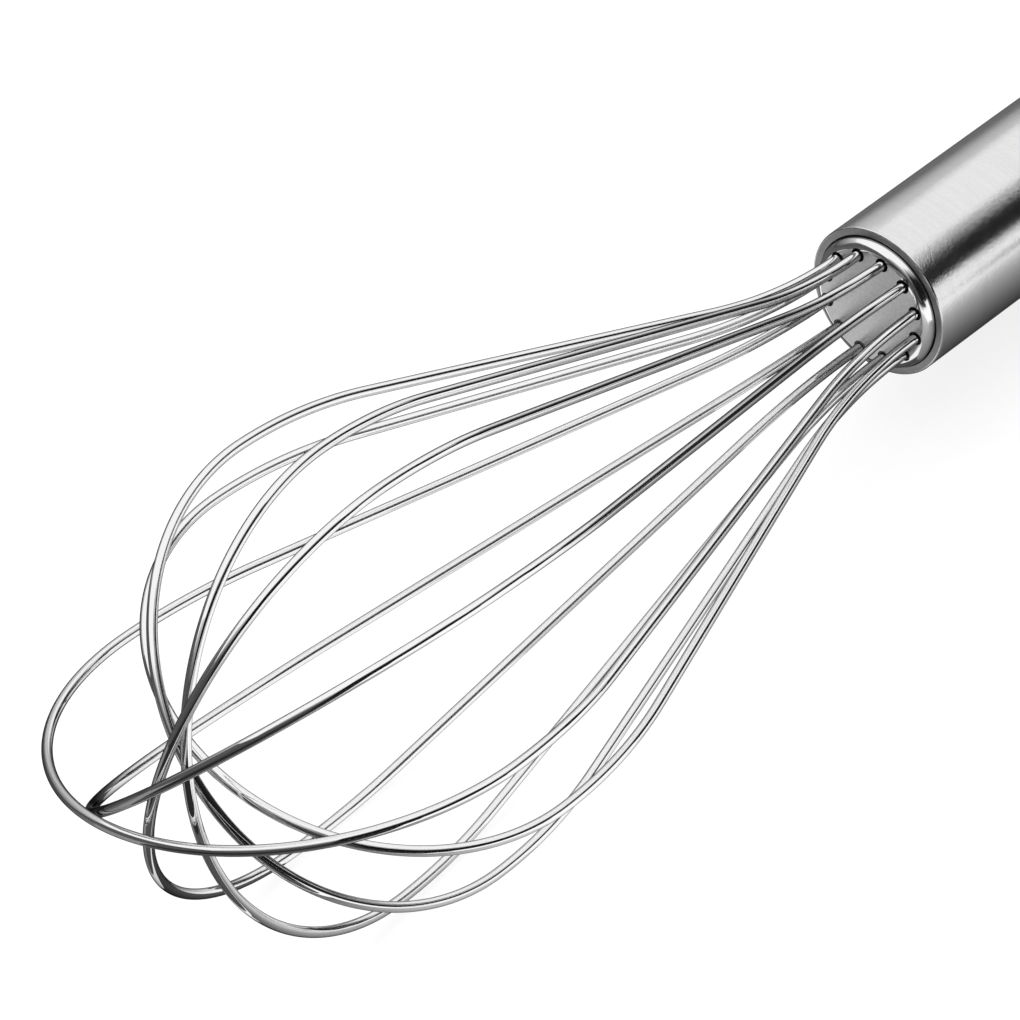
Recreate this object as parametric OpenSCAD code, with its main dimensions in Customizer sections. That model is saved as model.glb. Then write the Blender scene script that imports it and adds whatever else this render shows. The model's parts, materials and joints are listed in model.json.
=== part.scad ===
// Balloon whisk: six looped wires set in a round steel handle, lying as it rests on a table.
// Lengths are in millimetres and angles in degrees.
// Each piece is drawn along the handle's axis, with the nose towards +Z, and then laid down.

/* [Handle] */

// Outside diameter of the handle tube
handle_d = 25; // [23:0.5:32]
// Wall of the handle tube
handle_wall = 1.25; // [0.8:0.05:1.4]
// Length of the handle tube
handle_len = 115; // [80:1:180]
// Bevel on the outside edge of the tube's mouth
mouth_bevel = 0.25; // [0.1:0.05:0.5]

/* [Front plug] */

// Height of the plug's face above the mouth of the tube
plug_stand = 1.65; // [1.55:0.05:4]
// Rounding of the edge of the plug's face
plug_round = 1.55; // [0.5:0.05:1.6]
// Depth of the plug inside the tube
plug_depth = 10; // [6:0.5:20]
// Width of the open line between the mouth and the plug
mouth_gap = 0.2; // [0.1:0.05:0.4]
// Depth of the open line between the mouth and the plug
mouth_gap_depth = 0.6; // [0.3:0.1:2]

/* [Wires] */

// Diameter of the wire
wire_d = 1.6; // [1.2:0.1:1.7]
// Radius of the circle on which the wires leave the plug
hole_circle_r = 8.75; // [7.5:0.05:8.9]
// Diameter of the holes for the wires
hole_d = 2.3; // [2.1:0.05:2.5]
// Straight wire in front of the plug
wire_straight = 0.5; // [0:0.1:5]
// Bend radius of the legs where they flare out of the plug
flare_r = 90; // [60:1:120]
// Bend radius of the legs where they turn into the bow
shoulder_r = 80; // [60:1:110]
// Reach of the longest loop in front of the plug's face
cage_reach = 161; // [145:0.5:200]
// Radius of the bow of the longest loop
bow_r = 38; // [36:0.5:42]
// Wire held in the resin behind the plug
tail_len = 10; // [6:1:12]

/* [Sealing and filling] */

// Depth of the wire seals below the plug's face
seal_recess = 0.7; // [0.3:0.1:2]
// Length of the wire seals
seal_len = 4; // [2:0.5:8]
// Length of the resin filling behind the plug
resin_len = 16; // [14:1:50]
// Thickness of the disc that holds the resin back
dam_thick = 3; // [1:0.5:8]
// Gap left for the bond between two fixed pieces
bond_gap = 0.02; // [0.01:0.01:0.05]

/* [Rear end] */

// Height of the cap's rim behind the tube
cap_rim = 2.5; // [1:0.5:6]
// Height of the cap's dome above its rim
cap_dome = 4; // [2:0.5:8]
// Width of the step between the cap's rim and its dome
cap_step = 0.5; // [0.2:0.1:1.5]
// Length of the cap's spigot inside the tube
cap_spigot = 9; // [6:0.5:20]
// Distance of the eye's hole behind the dome
eye_out = 5.5; // [5:0.25:8]
// Radius of the eye's rounded end
eye_r = 4.2; // [3.2:0.1:5]
// Thickness of the eye
eye_thick = 3; // [2:0.1:3.4]
// Diameter of the eye's hole
eye_hole_d = 3; // [2.8:0.1:3.6]
// Diameter of the eye's stem
stem_d = 5; // [3:0.1:6]
// Length of the eye's stem below the top of the dome
stem_len = 12; // [6:0.5:14]

/* [Hanging ring] */

// Diameter of the ring, measured to the middle of its wire
ring_d = 18; // [16:0.5:20]
// Diameter of the ring's wire
ring_wire_d = 2; // [1.6:0.1:2.2]

/* [How it lies] */

// Turn of the first hole about the handle, away from straight up
first_hole_angle = 44; // [34:1:54]
// Gap between the ring and the table
table_gap = 0.1; // [0.05:0.05:0.5]

/* [Hidden] */

$fn = 64;

// How the six loops differ, in the order of their holes around the plug
loops = 6;
loop_shorter = [13.7, 4.8, 2.4, 0.5, 0, 19.7];
loop_narrower = [3, 2, 0.9, -1.3, 0, 3.6];
loop_turn = [-5, -5.6, -0.7, -4.3, -4.7, -5.3];
loop_sway = [1, 3.1, 3.7, 3.8, 0.5, -0.6];
loop_lean = [-1.3, -3.8, -0.5, 2.2, 1.3, 0.1];

// Seams between the bent and the straight lengths of a wire: width, depth and core on each side
seam = 0.02;
seam_step = 0.01;
seam_hold = 0.1;

handle_r = handle_d / 2;
bore_r = handle_r - handle_wall;
fitted_r = bore_r - bond_gap;
neck_r = bore_r - mouth_gap;
wire_r = wire_d / 2;
ring_r = ring_d / 2;
ring_wire_r = ring_wire_d / 2;
leg_below = plug_stand + plug_depth + tail_len;
dome_base_r = handle_r - cap_step;
dome_r = (dome_base_r * dome_base_r + cap_dome * cap_dome) / (2 * cap_dome);
cap_top = cap_rim + cap_dome;
rear_edge = handle_len + cap_rim;
hinge_back = handle_len + cap_top + eye_out;

// Middles and angles of the bends of one loop, in the loop's own plane
function reach(k) = cage_reach - loop_shorter[k];
function bow(k) = bow_r - loop_narrower[k];
function bow_mid(k) = reach(k) - bow(k);
function leg_start(k) = hole_circle_r * cos(loop_turn[k]);
function flare_mid(k) = [leg_start(k) + flare_r, wire_straight];
function shoulder_mid(k) = [bow(k) - shoulder_r, bow_mid(k)];
function between(k) = shoulder_mid(k) - flare_mid(k);
function run(k) = sqrt(between(k) * between(k) - pow(flare_r + shoulder_r, 2));
function bend(k) = atan2(between(k)[1], -between(k)[0]) - atan2(run(k), flare_r + shoulder_r);
function run_top(k) = wire_straight + flare_r * sin(bend(k)) + run(k) * cos(bend(k));
function leg_twist(k) = -asin(hole_circle_r * sin(loop_turn[k]) / run_top(k));
function loop_angle(k) = first_hole_angle - k * 180 / loops + loop_turn[k];

// Point of a loop's plane, given by its radius and height, in the handle's frame
function swayed(k, p) = [
    p[0] * cos(loop_sway[k]) + p[1] * sin(loop_sway[k]),
    p[1] * cos(loop_sway[k]) - p[0] * sin(loop_sway[k])
];
function leaned(k, q) = [q[0], q[1] * sin(loop_lean[k]), q[1] * cos(loop_lean[k])];
function turned(k, v) = [
    v[0] * cos(loop_angle(k)) - v[1] * sin(loop_angle(k)),
    v[0] * sin(loop_angle(k)) + v[1] * cos(loop_angle(k)),
    v[2] + plug_stand
];
function placed(k, p) = turned(k, leaned(k, swayed(k, p)));

// Points along the widest part of every leg and along every bow
round_points = [
    for (k = [0 : loops - 1], side = [-1, 1], t = [0 : 0.05 : 1])
        let (a = t * bend(k), m = shoulder_mid(k))
            placed(k, [side * (m[0] + shoulder_r * cos(a)), m[1] - shoulder_r * sin(a)])
];
bow_points = [
    for (k = [0 : loops - 1], a = [0 : 3 : 180])
        placed(k, [bow(k) * cos(a), bow_mid(k) + bow(k) * sin(a)])
];
cage_points = concat(round_points, bow_points);

// The handle's rear edge and the lowest legs touch the table
lie_tilt = max([
    for (p = cage_points)
        atan((wire_r - p[0] - handle_r) / (p[2] + rear_edge))
]);
lie_height = handle_r * cos(lie_tilt) + rear_edge * sin(lie_tilt);
hinge_height = lie_height - hinge_back * sin(lie_tilt);
ring_drop = asin((hinge_height - ring_wire_r - table_gap) / ring_d);
ring_swing = ring_drop - lie_tilt;

// The middle of the whole part comes to X = 0 and Y = 0
nose_end = min([for (p = cage_points) p[0] * sin(lie_tilt) - p[2] * cos(lie_tilt)]) - wire_r;
ring_end = hinge_back * cos(lie_tilt) + ring_d * cos(ring_drop) + ring_wire_r;
side_low = min([for (p = cage_points) p[1]]) - wire_r;
side_high = max([for (p = cage_points) p[1]]) + wire_r;

// Lays the upright whisk down on the table
module lying() {
    translate([-(nose_end + ring_end) / 2, -(side_low + side_high) / 2, lie_height])
        rotate([0, lie_tilt - 90, 0])
            children();
}

// Puts a piece behind the tube, with +Z pointing away from it
module behind() {
    translate([0, 0, -handle_len])
        mirror([0, 0, 1])
            children();
}

// Stands a loop's own frame on the middle of the plug's face
module loop_frame(k) {
    translate([0, 0, plug_stand])
        rotate([0, 0, loop_angle(k)])
            rotate([-loop_lean[k], 0, 0])
                rotate([0, loop_sway[k], 0])
                    children();
}

// Swings the lower end of one of a loop's two legs sideways, from its shoulder to its hole
module leg_frame(k, side) {
    rotate([0, 0, side * 180])
        translate([0, 0, run_top(k)])
            rotate([leg_twist(k), 0, 0])
                translate([0, 0, -run_top(k)])
                    children();
}

// Straight rod on one leg of a loop, from one depth below the plug's face to another
module leg_rod(k, side, low, high, r) {
    loop_frame(k)
        leg_frame(k, side)
            translate([leg_start(k), 0, low])
                cylinder(r = r, h = high - low);
}

module wire_arc(r, angle) {
    rotate_extrude(angle = angle)
        translate([r, 0])
            circle(r = wire_r);
}

// Short core, a hair thinner than the wire, that joins two lengths of it across a seam along +Y
module seam_core() {
    translate([0, -seam_hold, 0])
        rotate([-90, 0, 0])
            cylinder(r = wire_r - seam_step, h = seam + 2 * seam_hold);
}

// Lower end of a leg in the XY plane, from its tail to the end of its straight run
module lower_leg(k) {
    run_start = flare_mid(k) + flare_r * [-cos(bend(k)), sin(bend(k))];
    translate([leg_start(k), -leg_below, 0])
        rotate([-90, 0, 0])
            cylinder(r = wire_r, h = leg_below + wire_straight - seam);
    translate([leg_start(k), wire_straight - seam, 0])
        seam_core();
    translate(flare_mid(k))
        rotate([0, 0, 180 - bend(k)])
            wire_arc(flare_r, bend(k));
    translate(run_start)
        rotate([0, 0, -bend(k)]) {
            seam_core();
            translate([0, seam, 0])
                rotate([-90, 0, 0])
                    cylinder(r = wire_r, h = run(k) - 2 * seam);
            translate([0, run(k) - seam, 0])
                seam_core();
        }
}

// Shoulder of a leg in the XY plane, from the end of its run to the start of the bow
module shoulder(k) {
    translate(shoulder_mid(k))
        rotate([0, 0, -bend(k)])
            wire_arc(shoulder_r, bend(k));
    translate([bow(k), bow_mid(k), 0])
        seam_core();
}

module wire_loop(k) {
    color("silver")
        lying()
            loop_frame(k)
                union() {
                    for (side = [0, 1]) {
                        leg_frame(k, side)
                            rotate([90, 0, 0])
                                lower_leg(k);
                        rotate([90, 0, side * 180])
                            shoulder(k);
                    }
                    translate([0, 0, bow_mid(k) + seam])
                        rotate([90, 0, 0])
                            wire_arc(bow(k), 180);
                }
}

module handle_tube() {
    color("lightgray")
        lying()
            rotate_extrude()
                polygon([
                    [bore_r, 0],
                    [handle_r - mouth_bevel, 0],
                    [handle_r, -mouth_bevel],
                    [handle_r, -handle_len],
                    [bore_r, -handle_len]
                ]);
}

module plug_body() {
    rotate_extrude()
        union() {
            translate([0, -plug_depth])
                square([fitted_r, plug_depth - mouth_gap_depth]);
            translate([0, -plug_depth])
                square([neck_r, plug_depth + plug_stand - plug_round]);
            translate([0, -plug_depth])
                square([neck_r - plug_round, plug_depth + plug_stand]);
            translate([neck_r - plug_round, plug_stand - plug_round])
                intersection() {
                    circle(r = plug_round);
                    square(plug_round);
                }
        }
}

module front_plug() {
    color("gainsboro")
        lying()
            difference() {
                plug_body();
                for (k = [0 : loops - 1], side = [0, 1])
                    leg_rod(k, side, -leg_below, wire_straight + hole_d, hole_d / 2);
            }
}

module wire_seal(k, side) {
    color("dimgray")
        lying()
            difference() {
                leg_rod(k, side, -seal_recess - seal_len, -seal_recess, hole_d / 2 - bond_gap);
                leg_rod(k, side, -leg_below, wire_straight, wire_r + bond_gap);
            }
}

module potting_resin() {
    color("tan")
        lying()
            difference() {
                translate([0, 0, -plug_depth - resin_len])
                    cylinder(r = fitted_r, h = resin_len - bond_gap);
                for (k = [0 : loops - 1], side = [0, 1])
                    leg_rod(k, side, -leg_below - bond_gap, wire_straight, wire_r + bond_gap);
            }
}

module resin_dam() {
    color("gray")
        lying()
            translate([0, 0, -plug_depth - resin_len - bond_gap - dam_thick])
                cylinder(r = fitted_r, h = dam_thick);
}

module rear_cap() {
    color("gainsboro")
        lying()
            behind()
                difference() {
                    union() {
                        translate([0, 0, -cap_spigot])
                            cylinder(r = fitted_r, h = cap_spigot + cap_rim);
                        translate([0, 0, bond_gap])
                            cylinder(r = handle_r, h = cap_rim - bond_gap);
                        intersection() {
                            translate([0, 0, cap_top - dome_r])
                                sphere(r = dome_r);
                            cylinder(r = handle_r, h = cap_top);
                        }
                    }
                    translate([0, 0, cap_top - stem_len - bond_gap])
                        cylinder(r = stem_d / 2 + bond_gap, h = 2 * stem_len);
                }
}

module hanger_eye() {
    color("silver")
        lying()
            behind()
                difference() {
                    union() {
                        translate([0, 0, cap_top - stem_len])
                            cylinder(r = stem_d / 2, h = stem_len + bond_gap);
                        translate([-eye_r, -eye_thick / 2, cap_top + bond_gap])
                            cube([2 * eye_r, eye_thick, eye_out - bond_gap]);
                        translate([0, 0, cap_top + eye_out])
                            rotate([90, 0, 0])
                                cylinder(r = eye_r, h = eye_thick, center = true);
                    }
                    translate([0, 0, cap_top + eye_out])
                        rotate([90, 0, 0])
                            cylinder(d = eye_hole_d, h = 2 * eye_thick, center = true);
                }
}

module hanging_ring() {
    color("silver")
        lying()
            translate([0, 0, -hinge_back])
                rotate([0, 90 + ring_swing, 0])
                    translate([ring_r, 0, 0])
                        rotate_extrude()
                            translate([ring_r, 0])
                                circle(r = ring_wire_r);
}

function seal_name(n) = str("wire_seal_", n < 10 ? "0" : "", n);

handle_tube();
front_plug();
for (k = [0 : loops - 1])
    wire_loop(k);
for (k = [0 : loops - 1])
    wire_seal(k, 0);
for (k = [0 : loops - 1])
    wire_seal(k, 1);
potting_resin();
resin_dam();
rear_cap();
hanger_eye();
hanging_ring();
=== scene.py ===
"""Balloon whisk with polished wire loops and a brushed handle, dressed around the solids."""

import json
import math

import bpy
from mathutils import Matrix, Vector
from mathutils.kdtree import KDTree


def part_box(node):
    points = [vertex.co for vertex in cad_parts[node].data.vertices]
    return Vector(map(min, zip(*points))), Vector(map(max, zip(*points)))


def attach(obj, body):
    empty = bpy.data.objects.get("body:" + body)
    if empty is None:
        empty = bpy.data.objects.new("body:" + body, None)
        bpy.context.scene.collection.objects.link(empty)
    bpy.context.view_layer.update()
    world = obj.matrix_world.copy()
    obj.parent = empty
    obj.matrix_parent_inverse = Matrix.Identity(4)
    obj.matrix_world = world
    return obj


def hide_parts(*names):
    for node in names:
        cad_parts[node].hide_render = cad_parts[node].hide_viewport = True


bl_info = {
    "name": "Balloon Whisk",
    "version": (1, 0, 0),
    "blender": (4, 5, 0),
    "location": "3D View > Sidebar > Whisk",
    "description": "Models a balloon whisk with wire loops, a brushed handle and a hanging ring",
    "category": "Add Mesh",
}

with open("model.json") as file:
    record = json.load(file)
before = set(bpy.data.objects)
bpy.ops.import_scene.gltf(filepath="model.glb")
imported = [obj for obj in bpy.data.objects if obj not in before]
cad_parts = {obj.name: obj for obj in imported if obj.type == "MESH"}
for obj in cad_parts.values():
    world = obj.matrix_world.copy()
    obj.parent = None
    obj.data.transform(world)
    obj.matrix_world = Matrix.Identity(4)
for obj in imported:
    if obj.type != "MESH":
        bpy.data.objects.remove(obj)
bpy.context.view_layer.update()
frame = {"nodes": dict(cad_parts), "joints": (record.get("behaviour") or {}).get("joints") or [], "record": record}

MM = 0.001
RECORD = frame["record"]
GRIP = next(m for m in RECORD["mounts"] if m["name"] == "handle_grip")
RING_JOINT = next(j for j in frame["joints"] if j["name"] == "ring_swing")
LOOPS = 6
WHISK_BODY = "whisk"
RING_BODY = "ring"
WHITE = (1.0, 1.0, 1.0, 1.0)
COLOUR = {"subtype": "COLOR", "size": 4, "min": 0.0, "max": 1.0}

# Points nearer to each other than this are one, and faces thinner than a sliver go, in metres.
MERGE = 1e-7
CARD_MERGE = 1e-6
SLIVER = 1e-8

# Facets of the round forms.
TUBE_STEPS = 192
CAP_STEPS = 160
DOME_STEPS = 24
STEM_STEPS = 64
EYE_STEPS = 48
HOLE_SIDES = 48
WIRE_SIDES = 40
FLARE_STEPS = 24
SHOULDER_STEPS = 20
BOW_STEPS = 120
RING_STEPS = 144

# Depths of the grain and of the fainter marks in the finishes, in metres.
GRAIN_DEPTH = 0.00003
MARK_DEPTH = 0.00001

# Width of the camera's sensor in millimetres.
SENSOR_WIDTH = 36.0

# Distance of the standing cards and height of the lying ones, in metres.
CARD_DISTANCE = 0.9
CARD_LIFT = 0.0003


class WhiskSizes(bpy.types.PropertyGroup):
    """Sizes of the handle, the plug and the rear end, in millimetres"""

    handle_d: bpy.props.FloatProperty(
        name="Handle diameter", description="Outside diameter of the handle tube", default=25.0)
    handle_wall: bpy.props.FloatProperty(
        name="Handle wall", description="Wall of the handle tube", default=1.25)
    handle_len: bpy.props.FloatProperty(
        name="Handle length", description="Length of the handle tube", default=115.0)
    mouth_bevel: bpy.props.FloatProperty(
        name="Mouth bevel", description="Rounding of the outside edge of the mouth", default=0.25)
    plug_stand: bpy.props.FloatProperty(
        name="Plug height", description="Height of the plug's face above the mouth", default=1.65)
    plug_round: bpy.props.FloatProperty(
        name="Plug rounding", description="Rounding of the edge of the plug's face", default=1.55)
    plug_depth: bpy.props.FloatProperty(
        name="Plug depth", description="Depth of the plug inside the tube", default=10.0)
    mouth_gap: bpy.props.FloatProperty(
        name="Mouth gap", description="Open line between the mouth and the plug", default=0.2)
    mouth_gap_depth: bpy.props.FloatProperty(
        name="Mouth gap depth", description="Depth of that open line", default=0.6)
    hole_d: bpy.props.FloatProperty(
        name="Hole diameter", description="Diameter of the wire holes in the plug", default=2.3)
    bond_gap: bpy.props.FloatProperty(
        name="Bond gap", description="Gap between two fixed pieces", default=0.02)
    cap_rim: bpy.props.FloatProperty(
        name="Cap rim", description="Height of the cap's rim behind the tube", default=2.5)
    cap_dome: bpy.props.FloatProperty(
        name="Cap dome", description="Height of the cap's dome above its rim", default=4.0)
    cap_step: bpy.props.FloatProperty(
        name="Cap step", description="Step between the cap's rim and its dome", default=0.5)
    cap_spigot: bpy.props.FloatProperty(
        name="Cap spigot", description="Length of the cap's spigot in the tube", default=9.0)
    eye_out: bpy.props.FloatProperty(
        name="Eye distance", description="Distance of the eye's hole behind the dome", default=5.5)
    eye_r: bpy.props.FloatProperty(
        name="Eye radius", description="Radius of the eye's rounded end", default=4.2)
    eye_thick: bpy.props.FloatProperty(
        name="Eye thickness", description="Thickness of the eye", default=3.0)
    eye_hole_d: bpy.props.FloatProperty(
        name="Eye hole", description="Diameter of the eye's hole", default=3.0)
    stem_d: bpy.props.FloatProperty(
        name="Stem diameter", description="Diameter of the eye's stem", default=5.0)
    stem_len: bpy.props.FloatProperty(
        name="Stem length", description="Length of the eye's stem in the cap", default=12.0)
    ring_d: bpy.props.FloatProperty(
        name="Ring diameter", description="Ring diameter at the middle of its wire", default=18.0)
    ring_wire_d: bpy.props.FloatProperty(
        name="Ring wire", description="Diameter of the ring's wire", default=2.0)


class WhiskLoopSizes(bpy.types.PropertyGroup):
    """Sizes of the six wire loops, in millimetres and degrees"""

    wire_d: bpy.props.FloatProperty(
        name="Wire diameter", description="Diameter of the wire", default=1.6)
    hole_circle_r: bpy.props.FloatProperty(
        name="Hole circle", description="Radius on which the wires leave the plug", default=8.75)
    straight: bpy.props.FloatProperty(
        name="Straight start", description="Straight wire in front of the plug", default=0.5)
    tail: bpy.props.FloatProperty(
        name="Tail", description="Wire held behind the plug", default=10.0)
    flare_r: bpy.props.FloatProperty(
        name="Flare radius", description="Bend radius at the plug", default=90.0)
    shoulder_r: bpy.props.FloatProperty(
        name="Shoulder radius", description="Bend radius before the bow", default=80.0)
    reach: bpy.props.FloatVectorProperty(
        name="Reach", description="Reach of each loop in front of the plug", size=LOOPS,
        default=(147.3, 156.2, 158.6, 160.5, 161.0, 141.3))
    bow_r: bpy.props.FloatVectorProperty(
        name="Bow radius", description="Radius of the bow of each loop", size=LOOPS,
        default=(35.0, 36.0, 37.1, 39.3, 38.0, 34.4))
    first_angle: bpy.props.FloatProperty(
        name="First hole", description="Turn of the first hole from straight up", default=44.0)
    turn: bpy.props.FloatVectorProperty(
        name="Turn", description="Turn of each loop against its holes", size=LOOPS,
        default=(-5.0, -5.6, -0.7, -4.3, -4.7, -5.3))
    sway: bpy.props.FloatVectorProperty(
        name="Sway", description="Tilt of each loop in its own plane", size=LOOPS,
        default=(1.0, 3.1, 3.7, 3.8, 0.5, -0.6))
    lean: bpy.props.FloatVectorProperty(
        name="Lean", description="Tilt of each loop out of its plane", size=LOOPS,
        default=(-1.3, -3.8, -0.5, 2.2, 1.3, 0.1))


class WhiskFinishes(bpy.types.PropertyGroup):
    """Colours of the finishes"""

    handle: bpy.props.FloatVectorProperty(
        name="Handle steel", description="Brushed steel of the handle",
        default=(0.82, 0.82, 0.82, 1.0), **COLOUR)
    rim: bpy.props.FloatVectorProperty(
        name="Cut rim", description="Sawn and deburred end of the tube",
        default=(0.33, 0.33, 0.33, 1.0), **COLOUR)
    # Painted shade: a dark colour for the faces inside the mouth, the mouth gap and the holes, standing in for the
    # shade there.
    joint: bpy.props.FloatVectorProperty(
        name="Painted shade in joints", description="Painted shade inside the mouth and the holes",
        default=(0.12, 0.12, 0.12, 1.0), **COLOUR)
    plug: bpy.props.FloatVectorProperty(
        name="Plug steel", description="Satin face of the plug",
        default=(0.55, 0.55, 0.55, 1.0), **COLOUR)
    wire: bpy.props.FloatVectorProperty(
        name="Wire steel", description="Polished steel of the wires",
        default=(0.93, 0.93, 0.93, 1.0), **COLOUR)
    seal: bpy.props.FloatVectorProperty(
        name="Wire seal", description="Dark rubber of the wire seals",
        default=(0.13, 0.13, 0.134, 1.0), **COLOUR)
    resin: bpy.props.FloatVectorProperty(
        name="Resin", description="Cast resin inside the handle",
        default=(0.42, 0.3, 0.14, 1.0), **COLOUR)
    dam: bpy.props.FloatVectorProperty(
        name="Resin disc", description="Fibre disc behind the resin",
        default=(0.16, 0.15, 0.14, 1.0), **COLOUR)


class WhiskStage(bpy.types.PropertyGroup):
    """Camera of the studio"""

    camera_place: bpy.props.FloatVectorProperty(
        name="Camera place", description="Where the camera stands", subtype="TRANSLATION",
        size=3, default=(-0.525696, -0.479421, 0.571401))
    camera_turn: bpy.props.FloatVectorProperty(
        name="Camera turn", description="How the camera is turned", subtype="EULER", size=3,
        default=(math.radians(50.7213), math.radians(6.5884), math.radians(-48.7775)))
    lens: bpy.props.FloatProperty(
        name="Lens", description="Focal length on a sensor 36 mm wide", default=211.765)


def sizes():
    return bpy.context.scene.whisk_sizes


def loop_sizes():
    return bpy.context.scene.whisk_loops


def finishes():
    return bpy.context.scene.whisk_finishes


def lying():
    """Matrix from the upright whisk, nose up on the mouth's middle, to the whisk on the table."""
    rear = Vector(GRIP["axis"]).normalized()
    half = GRIP["dims"]["length_mm"] / 2
    mouth = Vector(GRIP["pos_m"]) - rear * (sizes().mouth_bevel + half) * MM
    nose = -rear
    side = Vector((0.0, 1.0, 0.0))
    up = side.cross(nose)
    turn = Matrix((up, side, nose)).transposed().to_4x4()
    return Matrix.Translation(mouth) @ turn


def behind():
    """Matrix that puts a piece behind the tube, with +Z pointing away from it."""
    flip = Matrix.Diagonal((-1.0, 1.0, -1.0, 1.0))
    return Matrix.Translation((0.0, 0.0, -sizes().handle_len * MM)) @ flip


def select_only(obj):
    if bpy.context.object and bpy.context.object.mode != "OBJECT":
        bpy.ops.object.mode_set(mode="OBJECT")
    bpy.ops.object.select_all(action="DESELECT")
    obj.select_set(True)
    bpy.context.view_layer.objects.active = obj


def start_point(name, place):
    """One loose vertex at a place, open in edit mode, ready to be extruded."""
    bpy.ops.object.select_all(action="DESELECT")
    bpy.ops.mesh.primitive_plane_add(size=MM)
    obj = bpy.context.object
    obj.name = name
    obj.data.name = name
    bpy.ops.object.mode_set(mode="EDIT")
    bpy.ops.mesh.select_all(action="SELECT")
    bpy.ops.mesh.merge(type="CENTER")
    bpy.ops.transform.translate(value=place)
    return obj


def extrude_by(step):
    bpy.ops.mesh.extrude_region_move(TRANSFORM_OT_translate={"value": step})


def merge_doubles(distance=MERGE):
    """Merges the points that lie on each other and leaves everything selected."""
    bpy.ops.mesh.select_all(action="SELECT")
    bpy.ops.mesh.remove_doubles(threshold=distance)
    bpy.ops.mesh.select_all(action="SELECT")


def outlined(name, points, distance=MERGE):
    """Closed outline through points in metres, open in edit mode with everything selected."""
    obj = start_point(name, points[0])
    for here, after in zip(points, points[1:] + points[:1]):
        extrude_by(after - here)
    merge_doubles(distance)
    return obj


def close_mesh():
    """Merges doubles and turns all faces outwards, then leaves edit mode."""
    merge_doubles()
    bpy.ops.mesh.normals_make_consistent(inside=False)
    bpy.ops.object.mode_set(mode="OBJECT")


def carve(obj, tool, operation):
    """Cuts a tool out of a piece, or joins it to the piece, and removes the tool."""
    select_only(obj)
    change = obj.modifiers.new("carve", "BOOLEAN")
    change.object = tool
    change.operation = operation
    change.solver = "EXACT"
    bpy.ops.object.modifier_apply(modifier=change.name)
    bpy.data.objects.remove(tool)


def put(obj, matrix):
    """Places a piece and moves its place into its mesh."""
    select_only(obj)
    obj.matrix_world = matrix
    bpy.ops.object.transform_apply(location=True, rotation=True, scale=True)


def turned(name, profile, steps):
    """Round piece turned from a closed profile of radius and height, in millimetres."""
    obj = outlined(name, [Vector((r * MM, 0.0, z * MM)) for r, z in profile])
    bpy.ops.mesh.spin(steps=steps, angle=math.tau, center=(0, 0, 0), axis=(0, 0, 1))
    merge_doubles()
    bpy.ops.mesh.dissolve_degenerate(threshold=SLIVER)
    close_mesh()
    return obj


def rounded(cx, cz, r, start, end, count):
    """Points of a rounded corner from one angle to another, in degrees."""
    angles = [math.radians(start + (end - start) * i / count) for i in range(count + 1)]
    return [(cx + r * math.cos(a), cz + r * math.sin(a)) for a in angles]


def smooth(obj, degrees):
    select_only(obj)
    bpy.ops.object.shade_smooth_by_angle(angle=math.radians(degrees))


def finish_piece(obj, nodes, body, slot, *materials):
    """Gives a piece its materials and its body and hides the nodes it stands for; the slot is not used."""
    for material in materials:
        obj.data.materials.append(material)
    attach(obj, body)
    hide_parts(*nodes)


def faces_to(obj, index, test):
    """Gives the faces that pass a test of middle and normal, in the upright frame, a material."""
    for face in obj.data.polygons:
        if test(face.center / MM, face.normal):
            face.material_index = index


class Nodes:
    """Short way to write a material's nodes."""

    def __init__(self, name):
        self.material = bpy.data.materials.new(name)
        self.material.use_nodes = True
        self.tree = self.material.node_tree
        self.shader = self.tree.nodes["Principled BSDF"]

    def add(self, kind, inputs=None, **settings):
        node = self.tree.nodes.new(kind)
        for key, value in settings.items():
            setattr(node, key, value)
        for key, value in (inputs or {}).items():
            if isinstance(value, bpy.types.NodeSocket):
                self.tree.links.new(value, node.inputs[key])
            else:
                node.inputs[key].default_value = value
        return node

    def set(self, **inputs):
        for key, value in inputs.items():
            socket = self.shader.inputs[key.replace("_", " ")]
            if isinstance(value, bpy.types.NodeSocket):
                self.tree.links.new(value, socket)
            else:
                socket.default_value = value

    def upright(self, scale=(1.0, 1.0, 1.0)):
        """Object coordinates turned upright along the handle's axis and scaled."""
        back = lying().inverted()
        coords = self.add("ShaderNodeTexCoord")
        turn = self.add(
            "ShaderNodeMapping",
            {"Vector": coords.outputs["Object"], "Rotation": back.to_euler(),
             "Location": back.to_translation()})
        return self.add(
            "ShaderNodeMapping",
            {"Vector": turn.outputs["Vector"], "Scale": scale}).outputs["Vector"]

    def noise(self, vector, scale, detail=4.0, rough=0.6):
        return self.add(
            "ShaderNodeTexNoise",
            {"Vector": vector, "Scale": scale, "Detail": detail,
             "Roughness": rough}).outputs["Fac"]

    def ranged(self, value, low, high, start=0.25, end=0.75):
        return self.add(
            "ShaderNodeMapRange",
            {"Value": value, "From Min": start, "From Max": end, "To Min": low,
             "To Max": high}).outputs["Result"]

    def shaded(self, colour, value, dark):
        """Colour that a pattern darkens down to a share of itself."""
        deep = tuple(c * dark for c in colour[:3]) + (1.0,)
        mix = self.add("ShaderNodeMix", data_type="RGBA")
        self.tree.links.new(value, mix.inputs["Factor"])
        mix.inputs["A"].default_value = deep
        mix.inputs["B"].default_value = tuple(colour)
        return mix.outputs["Result"]

    def bump(self, height, strength, distance):
        return self.add(
            "ShaderNodeBump",
            {"Height": height, "Strength": strength, "Distance": distance}).outputs["Normal"]


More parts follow.
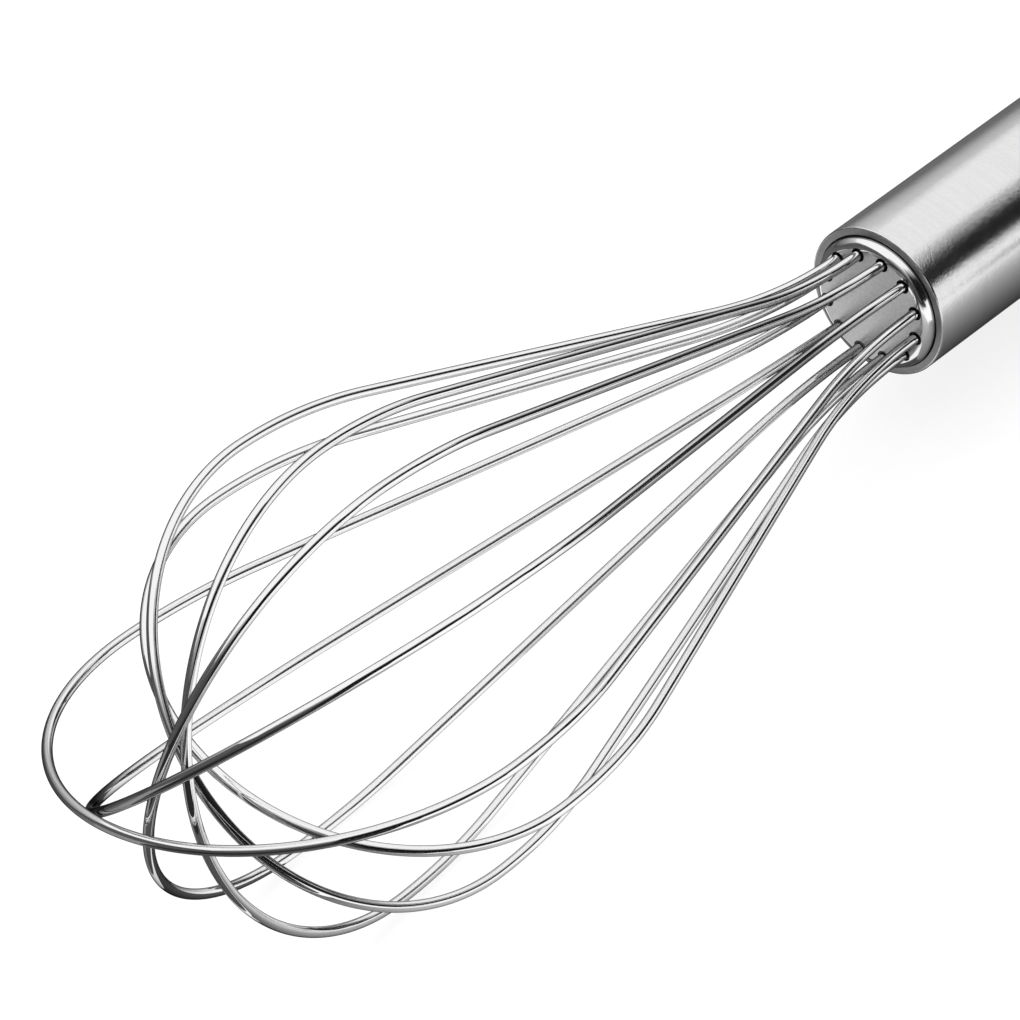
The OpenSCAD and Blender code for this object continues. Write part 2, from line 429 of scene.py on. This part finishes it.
def brushed_around(name, colour, rough_low, rough_high):
    """Brushed steel: a short fine grain over broad streaks that run around the handle's axis."""
    n = Nodes(name)
    short_grain = (1600.0, 1600.0, 4200.0)
    round_streaks = (60.0, 60.0, 900.0)
    fine = n.noise(n.upright(short_grain), 1.0, 3.0)
    broad = n.noise(n.upright(round_streaks), 1.0, 5.0)
    grain = n.add("ShaderNodeMath", {0: fine, 1: broad}, operation="ADD").outputs[0]
    n.set(
        Base_Color=n.shaded(colour, n.ranged(grain, 0.0, 1.0, 0.7, 1.3), 0.91),
        Metallic=1.0,
        Roughness=n.ranged(broad, rough_low, rough_high),
        Normal=n.bump(fine, 1.0, GRAIN_DEPTH))
    return n.material


def satin_grain(name, colour, rough_low, rough_high, grain_scale):
    """Blasted or sanded steel with a fine even grain."""
    n = Nodes(name)
    coords = n.upright()
    grain = n.noise(coords, grain_scale, 6.0, 0.7)
    cloud = n.noise(coords, grain_scale / 12.0, 3.0)
    n.set(
        Base_Color=n.shaded(colour, n.ranged(grain, 0.0, 1.0), 0.72),
        Metallic=1.0,
        Roughness=n.ranged(cloud, rough_low, rough_high),
        Normal=n.bump(grain, 0.12, GRAIN_DEPTH))
    return n.material


def polished_round(name, colour, rough_low, rough_high):
    """Polished steel with faint turning marks."""
    n = Nodes(name)
    turning_marks = (30.0, 30.0, 3000.0)
    marks = n.noise(n.upright(turning_marks), 1.0, 3.0)
    cloud = n.noise(n.upright(), 160.0, 4.0)
    n.set(
        Base_Color=n.shaded(colour, n.ranged(cloud, 0.0, 1.0), 0.93),
        Metallic=1.0,
        Roughness=n.ranged(marks, rough_low, rough_high),
        Normal=n.bump(marks, 0.02, MARK_DEPTH))
    return n.material


def drawn_wire(name, colour, rough_low, rough_high):
    """Polished wire with faint draw marks that run along it and an edge that mirrors little."""
    n = Nodes(name)
    along = n.add(
        "ShaderNodeAttribute", attribute_name="wire_run", attribute_type="GEOMETRY")
    marks = n.noise(along.outputs["Vector"], 3.0, 5.0, 0.65)
    handled = n.noise(n.upright(), 90.0, 4.0)
    n.set(
        Base_Color=n.shaded(colour, n.ranged(marks, 0.0, 1.0), 0.95),
        Metallic=1.0,
        Specular_Tint=(0.05, 0.05, 0.05, 1.0),
        Roughness=n.ranged(handled, rough_low, rough_high),
        Normal=n.bump(marks, 0.03, MARK_DEPTH))
    return n.material


def cast_or_moulded(name, colour, rough_low, rough_high, grain_scale, depth):
    """Rubber, resin or fibre with a cloudy colour and a fine skin."""
    n = Nodes(name)
    coords = n.upright()
    cloud = n.noise(coords, grain_scale / 8.0, 4.0)
    grain = n.noise(coords, grain_scale, 5.0)
    n.set(
        Base_Color=n.shaded(colour, n.ranged(cloud, 0.0, 1.0), 0.65),
        Roughness=n.ranged(grain, rough_low, rough_high),
        Normal=n.bump(grain, 0.25, depth))
    return n.material


class WHISK_OT_handle_tube(bpy.types.Operator):
    """Turn the handle tube with its rounded mouth and give it its brushed finish"""

    bl_idname = "whisk.handle_tube"
    bl_label = "Handle Tube"

    def execute(self, context):
        s = sizes()
        outer = s.handle_d / 2
        bore = outer - s.handle_wall
        edge = s.mouth_bevel
        bands = 8
        profile = [(bore, 0.0)]
        profile += rounded(outer - edge, -edge, edge, 90, 0, 6)
        profile += [(outer, -s.handle_len * i / bands) for i in range(1, bands + 1)]
        profile += [(bore, -s.handle_len)]
        tube = turned("handle_tube_brushed", profile, TUBE_STEPS)
        flat = 0.999
        faces_to(tube, 1, lambda mid, normal: mid.z > -edge / 2 and normal.z > flat)
        # Faces of the bore take the third material, a dark colour that paints the shade inside the tube.
        faces_to(tube, 2, lambda mid, normal: math.hypot(mid.x, mid.y) < bore + s.bond_gap)
        brushed = brushed_around("Brushed Handle", finishes().handle, 0.13, 0.17)
        rim = satin_grain("Cut Rim", finishes().rim, 0.38, 0.46, 2600.0)
        painted_shade = satin_grain("Painted Shade Bore", finishes().joint, 0.6, 0.7, 2000.0)
        put(tube, lying())
        smooth(tube, 30)
        finish_piece(tube, ["handle_tube"], WHISK_BODY, "handle_steel", brushed, rim, painted_shade)
        return {"FINISHED"}


def leg_start(k):
    """Radius at which a loop's legs cross the plug's face, in the loop's own plane."""
    w = loop_sizes()
    return w.hole_circle_r * math.cos(math.radians(w.turn[k]))


def loop_bend(k):
    """Middles of the two bends of a leg, the straight run between them and their angle."""
    w = loop_sizes()
    flare_mid = Vector((leg_start(k) + w.flare_r, w.straight))
    shoulder_mid = Vector((w.bow_r[k] - w.shoulder_r, w.reach[k] - w.bow_r[k]))
    gap = shoulder_mid - flare_mid
    both = w.flare_r + w.shoulder_r
    run = math.sqrt(gap.length_squared - both * both)
    angle = math.atan2(gap.y, -gap.x) - math.atan2(run, both)
    return flare_mid, shoulder_mid, run, angle


def leg_swing(k, side):
    """Matrix that swings a leg's lower end sideways, from its shoulder to its hole."""
    w = loop_sizes()
    _, _, run, angle = loop_bend(k)
    top = w.straight + w.flare_r * math.sin(angle) + run * math.cos(angle)
    twist = -math.asin(w.hole_circle_r * math.sin(math.radians(w.turn[k])) / top)
    return (
        Matrix.Translation((0.0, 0.0, top * MM))
        @ Matrix.Rotation(side * twist, 4, "X")
        @ Matrix.Translation((0.0, 0.0, -top * MM)))


def loop_place(k):
    """Matrix of a loop's own frame on the middle of the plug's face."""
    w = loop_sizes()
    about = w.first_angle - 180.0 * k / LOOPS + w.turn[k]
    return (
        lying()
        @ Matrix.Translation((0.0, 0.0, sizes().plug_stand * MM))
        @ Matrix.Rotation(math.radians(about), 4, "Z")
        @ Matrix.Rotation(math.radians(-w.lean[k]), 4, "X")
        @ Matrix.Rotation(math.radians(w.sway[k]), 4, "Y"))


def spin_wire(mid, angle, steps, swing=None):
    """Bends the open end of the wire around a middle given in the loop's plane."""
    swing = swing or Matrix()
    centre = swing @ Vector((mid[0] * MM, 0.0, mid[1] * MM))
    axis = swing.to_3x3() @ Vector((0.0, -1.0, 0.0))
    bpy.ops.mesh.spin(steps=steps, angle=angle, center=centre, axis=axis)


def wire_tube(k):
    """One loop, bent from a round wire: tail, flare, run, shoulder, bow and back again."""
    w = loop_sizes()
    flare_mid, shoulder_mid, run, angle = loop_bend(k)
    here, there = leg_swing(k, 1), leg_swing(k, -1)
    below = sizes().plug_stand + sizes().plug_depth + w.tail
    bpy.ops.object.select_all(action="DESELECT")
    bpy.ops.mesh.primitive_circle_add(
        vertices=WIRE_SIDES, radius=w.wire_d * MM / 2, fill_type="NOTHING")
    obj = bpy.context.object
    obj.name = f"wire_loop_{k + 1}_polished"
    obj.data.name = obj.name
    put(obj, here @ Matrix.Translation((leg_start(k) * MM, 0.0, -below * MM)))
    bpy.ops.object.mode_set(mode="EDIT")
    bpy.ops.mesh.select_all(action="SELECT")
    tail = Vector((0.0, 0.0, below + w.straight)) * MM
    out = Vector((math.sin(angle), 0.0, math.cos(angle))) * run * MM
    home = Vector((out.x, 0.0, -out.z))
    bow_mid = (0.0, w.reach[k] - w.bow_r[k])
    extrude_by(here.to_3x3() @ tail)
    spin_wire(flare_mid, angle, FLARE_STEPS, here)
    extrude_by(here.to_3x3() @ out)
    spin_wire(shoulder_mid, -angle, SHOULDER_STEPS)
    spin_wire(bow_mid, -math.pi, BOW_STEPS)
    spin_wire((-shoulder_mid[0], shoulder_mid[1]), -angle, SHOULDER_STEPS)
    extrude_by(there.to_3x3() @ home)
    spin_wire((-flare_mid[0], flare_mid[1]), angle, FLARE_STEPS, there)
    extrude_by(there.to_3x3() @ -tail)
    merge_doubles()
    bpy.ops.mesh.fill_holes(sides=0)
    close_mesh()
    return obj


def loop_path(k):
    """Points along the middle of a loop's wire, from tail to tail, in metres."""
    bend_points, run_points, bow_points = 40, 60, 79
    w = loop_sizes()
    flare_mid, shoulder_mid, run, angle = loop_bend(k)
    below = sizes().plug_stand + sizes().plug_depth + w.tail
    bow_mid = Vector((0.0, w.reach[k] - w.bow_r[k]))
    tail = below + w.straight
    leg = [Vector((leg_start(k), -below + tail * i / bend_points)) for i in range(bend_points)]
    for i in range(bend_points + 1):
        a = angle * i / bend_points
        leg.append(flare_mid + w.flare_r * Vector((-math.cos(a), math.sin(a))))
    start = leg[-1].copy()
    out = Vector((math.sin(angle), math.cos(angle))) * run
    leg += [start + out * i / run_points for i in range(1, run_points)]
    top = []
    for i in range(bend_points + 1):
        a = angle * (1 - i / bend_points)
        top.append(shoulder_mid + w.shoulder_r * Vector((math.cos(a), -math.sin(a))))
    for i in range(1, bow_points + 1):
        a = math.pi / 2 * i / bow_points
        top.append(bow_mid + w.bow_r[k] * Vector((math.cos(a), math.sin(a))))
    halves = []
    for side in (1, -1):
        swing = leg_swing(k, side)
        low = [swing @ Vector((side * p.x * MM, 0.0, p.y * MM)) for p in leg]
        halves.append(low + [Vector((side * p.x * MM, 0.0, p.y * MM)) for p in top])
    return halves[0] + halves[1][-2::-1]


def mark_wire(obj, k):
    """Stores, for each vertex, its place along and around the wire for the draw marks."""
    path = loop_path(k)
    tree = KDTree(len(path))
    far = [0.0]
    for i, p in enumerate(path):
        tree.insert(p, i)
        if i:
            far.append(far[-1] + (p - path[i - 1]).length)
    tree.balance()
    around = 2.0 / loop_sizes().wire_d / MM
    stretch = 30.0
    spread = 4.0
    layer = obj.data.attributes.new("wire_run", "FLOAT_VECTOR", "POINT")
    for v in obj.data.vertices:
        co, i, _ = tree.find(v.co)
        ahead = (path[min(i + 1, len(path) - 1)] - path[max(i - 1, 0)]).normalized()
        off = v.co - co
        aside = (off.x * ahead.z - off.z * ahead.x) * around
        layer.data[v.index].vector = (
            far[i] * stretch + k, aside * spread, off.y * around * spread)


class WHISK_OT_wire_loops(bpy.types.Operator):
    """Bend the six wire loops and polish them"""

    bl_idname = "whisk.wire_loops"
    bl_label = "Wire Loops"

    def execute(self, context):
        wire = drawn_wire("Polished Wire", finishes().wire, 0.03, 0.07)
        for k in range(LOOPS):
            loop = wire_tube(k)
            mark_wire(loop, k)
            put(loop, loop_place(k))
            smooth(loop, 40)
            finish_piece(loop, [f"wire_loop_{k + 1}"], WHISK_BODY, "wire_steel", wire)
        return {"FINISHED"}


class WHISK_OT_front_plug(bpy.types.Operator):
    """Turn the front plug, drill its twelve wire holes and finish its face and edge"""

    bl_idname = "whisk.front_plug"
    bl_label = "Front Plug"

    def execute(self, context):
        s = sizes()
        bore = s.handle_d / 2 - s.handle_wall
        fitted = bore - s.bond_gap
        neck = bore - s.mouth_gap
        flat_r = neck - s.plug_round
        bands = 6
        profile = [(flat_r * i / bands, s.plug_stand) for i in range(bands)]
        profile += rounded(flat_r, s.plug_stand - s.plug_round, s.plug_round, 90, 0, 16)
        profile += [(neck, 0.0), (neck, -s.mouth_gap_depth), (fitted, -s.mouth_gap_depth)]
        profile += [(fitted, -s.plug_depth), (0.0, -s.plug_depth)]
        plug = turned("front_plug_satin", profile, TUBE_STEPS)
        put(plug, lying())
        for k in range(LOOPS):
            for side in (-1, 1):
                self.drill(plug, k, side)
        smooth(plug, 30)
        face = satin_grain("Satin Plug Face", finishes().plug, 0.3, 0.36, 1800.0)
        edge = polished_round("Polished Plug Edge", finishes().wire, 0.08, 0.14)
        back = lying().inverted()
        turn = back.to_3x3()
        flat = 0.995
        skin = 0.05
        # Painted shade: the dark joint colour stands in for the shade in the mouth gap and down the holes.
        painted_shade = satin_grain("Painted Shade Joint", finishes().joint, 0.6, 0.7, 2000.0)
        finish_piece(plug, ["front_plug"], WHISK_BODY, "plug_steel", face, edge, painted_shade)
        for polygon in plug.data.polygons:
            mid = (back @ polygon.center) / MM
            upright = turn @ polygon.normal
            on_face = upright.z > flat and mid.z > s.plug_stand - skin
            # Faces below the mouth, in the gap and down the holes, get the painted shade.
            polygon.material_index = 0 if on_face else 1 if mid.z > 0.0 else 2
        return {"FINISHED"}

    def drill(self, plug, k, side):
        """Drills the hole of one leg of a loop, along that leg."""
        s = sizes()
        bpy.ops.object.select_all(action="DESELECT")
        bpy.ops.mesh.primitive_cylinder_add(
            vertices=HOLE_SIDES, radius=s.hole_d * MM / 2, depth=4 * s.plug_depth * MM)
        drill = bpy.context.object
        start = Matrix.Translation((side * leg_start(k) * MM, 0.0, 0.0))
        put(drill, loop_place(k) @ leg_swing(k, side) @ start)
        carve(plug, drill, "DIFFERENCE")


class WHISK_OT_rear_cap(bpy.types.Operator):
    """Turn the rear cap with its rim, its domed end and its spigot"""

    bl_idname = "whisk.rear_cap"
    bl_label = "Rear Cap"

    def execute(self, context):
        s = sizes()
        outer = s.handle_d / 2
        fitted = outer - s.handle_wall - s.bond_gap
        base = outer - s.cap_step
        dome_r = (base * base + s.cap_dome * s.cap_dome) / (2 * s.cap_dome)
        top = s.cap_rim + s.cap_dome
        stem = s.stem_d / 2 + s.bond_gap
        edge = 0.2
        start = math.degrees(math.asin(stem / dome_r))
        end = math.degrees(math.asin(base / dome_r))
        profile = []
        for i in range(DOME_STEPS + 1):
            a = math.radians(start + (end - start) * i / DOME_STEPS)
            profile.append((dome_r * math.sin(a), top - dome_r + dome_r * math.cos(a)))
        profile += rounded(outer - edge, s.cap_rim - edge, edge, 90, 0, 5)
        profile += rounded(outer - edge, s.bond_gap + edge, edge, 0, -90, 5)
        profile += [(fitted, s.bond_gap), (fitted, -s.cap_spigot), (stem, -s.cap_spigot)]
        cap = turned("rear_cap_satin", profile, CAP_STEPS)
        put(cap, lying() @ behind())
        smooth(cap, 30)
        satin = brushed_around("Satin Cap", finishes().handle, 0.2, 0.28)
        finish_piece(cap, ["rear_cap"], WHISK_BODY, "handle_steel", satin)
        return {"FINISHED"}


class WHISK_OT_hanger_eye(bpy.types.Operator):
    """Shape the eye with its rounded end, its hole and its stem"""

    bl_idname = "whisk.hanger_eye"
    bl_label = "Hanger Eye"

    def execute(self, context):
        s = sizes()
        top = s.cap_rim + s.cap_dome
        low = (-s.eye_r, top + s.bond_gap)
        mid_z = top + s.eye_out
        outline = [low]
        outline += rounded(0.0, mid_z, s.eye_r, 180, 0, EYE_STEPS)
        outline += [(s.eye_r, low[1])]
        points = [Vector((x * MM, -s.eye_thick * MM / 2, z * MM)) for x, z in outline]
        eye = outlined("hanger_eye_polished", points)
        bpy.ops.mesh.edge_face_add()
        extrude_by((0.0, s.eye_thick * MM, 0.0))
        close_mesh()
        carve(eye, self.drill(mid_z), "DIFFERENCE")
        edge = 0.35
        bevel = eye.modifiers.new("soft edges", "BEVEL")
        bevel.width = edge * MM
        bevel.segments = 4
        bevel.limit_method = "ANGLE"
        bevel.angle_limit = math.radians(50)
        bpy.ops.object.modifier_apply(modifier=bevel.name)
        overlap = 0.6
        stem_low = top - s.stem_len
        stem_top = top + s.bond_gap + overlap
        stem_r = s.stem_d / 2
        stem = turned(
            "stem", [(0.0, stem_low), (stem_r, stem_low), (stem_r, stem_top), (0.0, stem_top)],
            STEM_STEPS)
        carve(eye, stem, "UNION")
        put(eye, lying() @ behind())
        smooth(eye, 35)
        steel = polished_round("Polished Eye", finishes().wire, 0.12, 0.2)
        finish_piece(eye, ["hanger_eye"], WHISK_BODY, "ring_steel", steel)
        return {"FINISHED"}

    def drill(self, mid_z):
        """Drill that cuts the eye's hole."""
        s = sizes()
        bpy.ops.object.select_all(action="DESELECT")
        bpy.ops.mesh.primitive_cylinder_add(
            vertices=HOLE_SIDES, radius=s.eye_hole_d * MM / 2, depth=3 * s.eye_thick * MM,
            location=(0.0, 0.0, mid_z * MM), rotation=(math.pi / 2, 0.0, 0.0))
        return bpy.context.object


class WHISK_OT_hanging_ring(bpy.types.Operator):
    """Bend the hanging ring from wire, with its closed butt joint"""

    bl_idname = "whisk.hanging_ring"
    bl_label = "Hanging Ring"

    def execute(self, context):
        s = sizes()
        radius = s.ring_d / 2
        wire_r = s.ring_wire_d / 2
        seam = math.radians(0.6)
        edge = 0.12
        low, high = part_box("hanging_ring")
        hinge = Vector(RING_JOINT["pos_m"])
        middle = (low + high) / 2
        ahead = (middle - hinge).normalized()
        side = Vector((0.0, 1.0, 0.0))
        place = Matrix((ahead, side, ahead.cross(side))).transposed().to_4x4()
        bpy.ops.object.select_all(action="DESELECT")
        bpy.ops.mesh.primitive_circle_add(
            vertices=WIRE_SIDES, radius=(wire_r - edge) * MM, fill_type="NOTHING",
            location=(radius * MM, 0.0, 0.0), rotation=(math.pi / 2, 0.0, 0.0))
        ring = bpy.context.object
        ring.name = "hanging_ring_polished"
        ring.data.name = ring.name
        bpy.ops.object.transform_apply(location=True, rotation=True, scale=True)
        bpy.ops.object.mode_set(mode="EDIT")
        bpy.ops.mesh.select_all(action="SELECT")
        turn = edge / radius
        grow = wire_r / (wire_r - edge)
        about = {"center": (0, 0, 0), "axis": (0, 0, -1)}
        bpy.ops.mesh.spin(steps=1, angle=turn, **about)
        self.swell(grow, turn, radius)
        bpy.ops.mesh.spin(steps=RING_STEPS, angle=math.tau - seam - 2 * turn, **about)
        bpy.ops.mesh.spin(steps=1, angle=turn, **about)
        self.swell(1.0 / grow, math.tau - seam, radius)
        merge_doubles()
        bpy.ops.mesh.fill_holes(sides=0)
        close_mesh()
        put(ring, Matrix.Translation(hinge + ahead * radius * MM) @ place)
        smooth(ring, 35)
        steel = polished_round("Polished Ring", finishes().wire, 0.08, 0.15)
        finish_piece(ring, ["hanging_ring"], RING_BODY, "ring_steel", steel)
        return {"FINISHED"}

    def swell(self, grow, angle, radius):
        """Scales the open end of the ring's wire about its own middle."""
        middle = (radius * MM * math.cos(angle), radius * MM * math.sin(angle), 0.0)
        bpy.ops.transform.resize(value=(grow, grow, grow), center_override=middle)


class WHISK_OT_seals_and_filling(bpy.types.Operator):
    """Give the wire seals, the resin and its disc their finishes"""

    bl_idname = "whisk.seals_and_filling"
    bl_label = "Seals and Filling"

    def execute(self, context):
        c = finishes()
        rubber = cast_or_moulded("Seal Rubber", c.seal, 0.6, 0.75, 2200.0, depth=0.00004)
        resin = cast_or_moulded("Cast Resin", c.resin, 0.22, 0.35, 400.0, depth=0.00003)
        fibre = cast_or_moulded("Fibre Disc", c.dam, 0.75, 0.9, 1500.0, depth=0.0001)
        for name, node in frame["nodes"].items():
            if name.startswith("wire_seal"):
                self.dress(node, rubber)
        self.dress(frame["nodes"]["potting_resin"], resin)
        self.dress(frame["nodes"]["resin_dam"], fibre)
        return {"FINISHED"}

    def dress(self, node, material):
        """Gives a solid that is shown as it is one material all over."""
        node.data.materials.clear()
        node.data.materials.append(material)


class WHISK_OT_stage(bpy.types.Operator):
    """Set the camera, the light, the floor and the cards that polished steel mirrors"""

    bl_idname = "whisk.stage"
    bl_label = "Studio"

    def execute(self, context):
        stage = context.scene.whisk_stage
        context.scene.view_settings.view_transform = "Standard"
        self.camera(context, stage)
        self.world(context)
        self.floor()
        self.cards()
        self.softbox()
        return {"FINISHED"}

    def camera(self, context, stage):
        data = bpy.data.cameras.new("camera")
        data.lens = stage.lens
        data.sensor_width = SENSOR_WIDTH
        data.sensor_fit = "HORIZONTAL"
        data.clip_start = 0.01
        data.clip_end = 20.0
        camera = bpy.data.objects.new("camera", data)
        camera.location = stage.camera_place
        camera.rotation_euler = stage.camera_turn
        context.scene.collection.objects.link(camera)
        context.scene.camera = camera

    def world(self, context):
        world = bpy.data.worlds.new("studio")
        context.scene.world = world
        world.use_nodes = True
        light = world.node_tree.nodes["Background"]
        light.inputs["Color"].default_value = WHITE
        light.inputs["Strength"].default_value = 1.0

    def seen_directly(self, n):
        """1 for rays from the camera, from gloss and from glass."""
        path = n.add("ShaderNodeLightPath")
        shiny = n.add(
            "ShaderNodeMath",
            {0: path.outputs["Is Camera Ray"], 1: path.outputs["Is Glossy Ray"]},
            operation="MAXIMUM")
        return n.add(
            "ShaderNodeMath",
            {0: shiny.outputs[0], 1: path.outputs["Is Transmission Ray"]},
            operation="MAXIMUM").outputs[0]

    def floor(self):
        bpy.ops.object.select_all(action="DESELECT")
        bpy.ops.mesh.primitive_circle_add(vertices=96, radius=6.0, fill_type="NGON")
        floor = bpy.context.object
        floor.name = "floor"
        n = Nodes("Pale Floor")
        speck = n.noise(n.add("ShaderNodeTexCoord").outputs["Object"], 60.0, 4.0)
        glow = n.ranged(self.seen_directly(n), 0.0, 0.74, 0.0, 1.0)
        n.set(
            Base_Color=n.shaded((0.32, 0.32, 0.32, 1.0), n.ranged(speck, 0.0, 1.0), 0.97),
            Roughness=0.9,
            Specular_IOR_Level=0.0,
            Emission_Color=WHITE,
            Emission_Strength=glow)
        floor.data.materials.append(n.material)

    def card(self, name, points, grey, end=None, along="Z"):
        """Flat card that only gloss sees, with one grey or with two that blend along an axis."""
        card = outlined(name, [Vector(p) for p in points], CARD_MERGE)
        bpy.ops.mesh.edge_face_add()
        bpy.ops.object.mode_set(mode="OBJECT")
        n = Nodes("Card " + name)
        colour = (grey, grey, grey, 1.0)
        if end is not None:
            coords = n.add("ShaderNodeTexCoord").outputs["Object"]
            place = n.add("ShaderNodeSeparateXYZ", {"Vector": coords}).outputs[along]
            spots = [p["XYZ".index(along)] for p in points]
            colour = n.ranged(place, grey, end, min(spots), max(spots))
        n.set(Base_Color=colour, Roughness=1.0, Specular_IOR_Level=0.0)
        card.data.materials.append(n.material)
        card.visible_camera = False
        card.visible_diffuse = False
        card.visible_shadow = False
        card.visible_transmission = False

    def wall(self, name, start, end, low, high, grey, top=None):
        """Standing card around the whisk, from one bearing and elevation to another."""
        away = CARD_DISTANCE
        heights = [away * math.tan(math.radians(e)) for e in (low, high)]
        ends = [math.radians(a) for a in (start, end)]
        feet = [(away * math.cos(a), away * math.sin(a)) for a in ends]
        points = [
            (*feet[0], heights[0]), (*feet[1], heights[0]),
            (*feet[1], heights[1]), (*feet[0], heights[1])]
        self.card(name, points, grey, top)

    def floor_card(self, name, outline, grey, end=None, along="X"):
        """Card that lies on the floor and may blend from one side to the other."""
        self.card(name, [(x, y, CARD_LIFT) for x, y in outline], grey, end, along)

    def oblong(self, name, low, high, *greys):
        """Floor card between two opposite corners."""
        (x0, y0), (x1, y1) = low, high
        self.floor_card(name, [(x0, y0), (x1, y0), (x1, y1), (x0, y1)], *greys)

    def cards(self):
        """Dark and grey cards that the polished wires and the handle mirror."""
        self.wall("room_left", -190, -140, 0, 24, 0.09)
        self.wall("room_left_top", -190, -140, 24, 46, 0.1, 0.8)
        self.wall("room_front_foot", -140, -108, 0, 8, 0.015)
        self.wall("room_front", -140, -96, 8, 42, 0.012)
        self.wall("room_front_top", -140, -96, 42, 57, 0.03, 0.9)
        self.wall("room_right", -96, -68, 8, 41, 0.015)
        self.wall("room_right_top", -96, -68, 41, 58, 0.05, 0.9)
        self.wall("room_corner", -68, -46, 15, 35, 0.03)
        self.wall("room_corner_top", -68, -46, 35, 46, 0.08, 1.0)
        self.wall("room_side", -46, -34, 6, 36, 0.015)
        self.wall("room_side_end", -34, -26, 0, 36, 0.015)
        self.wall("room_side_top", -46, -22, 36, 47, 0.1, 1.0)
        self.wall("room_end_left", -26, -12, 0, 22, 0.02)
        self.wall("room_end_left_top", -22, -12, 22, 36, 0.04, 0.9)
        self.wall("room_end", -12, 0, 0, 17, 0.02)
        self.wall("room_end_top", -12, 0, 17, 30, 0.04, 0.9)
        self.wall("room_end_right", 0, 13, 0, 13, 0.02)
        self.wall("room_end_right_top", 0, 13, 13, 23, 0.05, 0.9)
        self.wall("far_wall", 13, 38, 0, 15, 0.25, 1.0)
        self.wall("far_middle", 38, 72, 0, 14, 0.24, 0.74)
        self.wall("far_middle_top", 38, 72, 14, 40, 0.74, 0.97)
        self.wall("far_corner", 72, 115, 0, 32, 0.07, 0.8)
        self.wall("nose_wall", 115, 170, 0, 33, 0.12)
        self.oblong("far_floor", (0.05, 0.055), (0.7, 0.9), 0.14, 0.12, "Y")
        self.oblong("corner_floor", (-0.6, 0.055), (0.05, 0.9), 0.1, 0.06, "Y")
        self.oblong("cage_side", (-0.15, 0.028), (-0.05, 0.055), 0.2, 0.12, "Y")
        self.oblong("end_floor", (0.13, -0.2), (0.9, 0.055), 0.04)
        self.oblong("nose_shade", (-0.143, -0.012), (-0.118, 0.016), 0.06, 0.12)
        self.oblong("nose_front", (-0.146, -0.1), (-0.095, -0.012), 0.12, 0.75)
        self.oblong("leg_floor", (-0.065, -0.05), (-0.012, 0.006), 0.7, 0.42)
        self.oblong("mouth_floor", (-0.012, -0.06), (0.02, -0.008), 0.4, 0.2)
        # Floor beside the handle, bright far off and darker towards the handle: the dark end is painted shadow,
        # seen only in reflections.
        self.oblong("handle_floor_and_painted_shadow", (0.02, -0.11), (0.13, -0.008), 0.95, 0.12, "Y")
        # Dark card under the handle: painted shadow of the handle on the floor, seen only in reflections.
        self.oblong("painted_shadow_under_handle", (0.0, -0.008), (0.13, 0.055), 0.1)
        near = [(-0.15, 0.008), (-0.147, -0.03), (-0.155, -0.09), (-0.167, -0.13), (-0.2, -0.04),
                (-0.199, 0.0284)]
        self.floor_card("left_near", near, 0.08)
        left = [(-0.199, 0.0284), (-0.2, -0.04), (-0.167, -0.13), (-0.4, -0.89), (-0.76, -0.71),
                (-1.1, 0.0), (-0.85, 0.3)]
        self.floor_card("left_floor", left, 0.02)
        beyond = [(-0.15, 0.055), (-0.15, 0.008), (-0.85, 0.3), (-0.6, 0.64)]
        self.floor_card("left_beyond", beyond, 0.28)

    def softbox(self):
        data = bpy.data.lights.new("softbox", "AREA")
        data.shape = "RECTANGLE"
        data.size = data.size_y = 0.8
        data.energy = 3.0
        lamp = bpy.data.objects.new("softbox", data)
        lamp.location = (0.3, 0.5, 1.0)
        lamp.visible_glossy = False
        aim = -Vector(lamp.location)
        lamp.rotation_euler = aim.to_track_quat("-Z", "Y").to_euler()
        bpy.context.scene.collection.objects.link(lamp)


class WHISK_PT_panel(bpy.types.Panel):
    """Lists the pieces, their sizes and their finishes"""

    bl_label = "Balloon Whisk"
    bl_idname = "WHISK_PT_panel"
    bl_space_type = "VIEW_3D"
    bl_region_type = "UI"
    bl_category = "Whisk"

    def draw(self, context):
        for operator in OPERATORS:
            self.layout.operator(operator.bl_idname)
        for group in GROUPS:
            box = self.layout.box()
            values = getattr(context.scene, group)
            for key in values.__annotations__:
                box.prop(values, key)


OPERATORS = (
    WHISK_OT_stage, WHISK_OT_handle_tube, WHISK_OT_front_plug, WHISK_OT_wire_loops,
    WHISK_OT_rear_cap, WHISK_OT_hanger_eye, WHISK_OT_hanging_ring,
    WHISK_OT_seals_and_filling)
GROUPS = {
    "whisk_sizes": WhiskSizes, "whisk_loops": WhiskLoopSizes,
    "whisk_finishes": WhiskFinishes, "whisk_stage": WhiskStage}


def register():
    for name, group in GROUPS.items():
        bpy.utils.register_class(group)
        setattr(bpy.types.Scene, name, bpy.props.PointerProperty(type=group))
    for operator in OPERATORS:
        bpy.utils.register_class(operator)
    bpy.utils.register_class(WHISK_PT_panel)


def unregister():
    bpy.utils.unregister_class(WHISK_PT_panel)
    for operator in reversed(OPERATORS):
        bpy.utils.unregister_class(operator)
    for name, group in GROUPS.items():
        delattr(bpy.types.Scene, name)
        bpy.utils.unregister_class(group)


def main():
    register()
    bpy.ops.whisk.stage()
    bpy.ops.whisk.handle_tube()
    bpy.ops.whisk.front_plug()
    bpy.ops.whisk.wire_loops()
    bpy.ops.whisk.rear_cap()
    bpy.ops.whisk.hanger_eye()
    bpy.ops.whisk.hanging_ring()
    bpy.ops.whisk.seals_and_filling()


if __name__ == "__main__":
    main()
